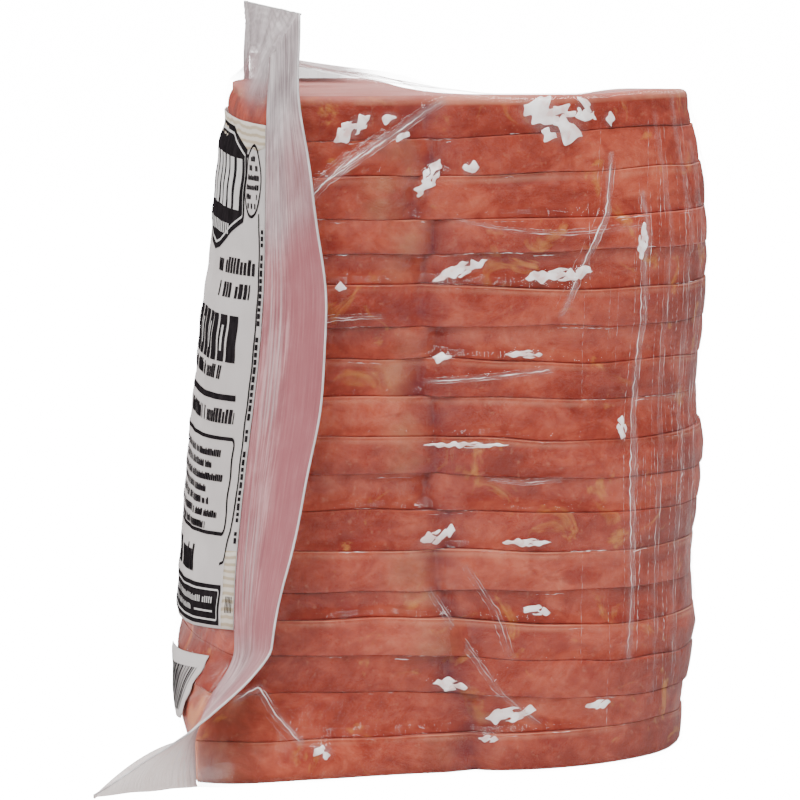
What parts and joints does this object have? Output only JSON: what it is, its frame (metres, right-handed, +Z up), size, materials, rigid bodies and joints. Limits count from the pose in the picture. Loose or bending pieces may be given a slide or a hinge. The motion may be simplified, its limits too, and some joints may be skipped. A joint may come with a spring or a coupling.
{
  "type": "vacuum pack of sliced ham",
  "caption": "Clear vacuum-sealed pack of thick stacked ham slices, standing on its base, with a plain printed front label and a flat welded rim.",
  "frame": {"origin": "on the flat underside of the pocket, under the middle of the stack of slices", "axes": "+Z up the stack of slices, -Y towards the labelled front, +X towards the pack's right side"},
  "size_m": [0.1, 0.0831, 0.0971],
  "materials": {
    "ham": "moist cured meat",
    "film": "clear glossy film",
    "rim": "hazy welded film",
    "label": "printed label, semi-gloss",
    "patch": "printed patch of bars, semi-gloss"
  },
  "bodies": {
    "root": {"slice_01": "ham", "slice_02": "ham", "slice_03": "ham", "slice_04": "ham", "slice_05": "ham", "slice_06": "ham", "slice_07": "ham", "slice_08": "ham", "slice_09": "ham", "slice_10": "ham", "slice_11": "ham", "slice_12": "ham", "slice_13": "ham", "slice_14": "ham", "slice_15": "ham", "slice_16": "ham", "slice_17": "ham", "slice_18": "ham", "forming_film": "film", "lidding_film": "film", "top_rim": "rim", "right_rim": "rim", "left_rim": "rim", "bottom_rim": "rim", "front_label": "label", "bar_patch": "patch"}
  },
  "joints": []
}
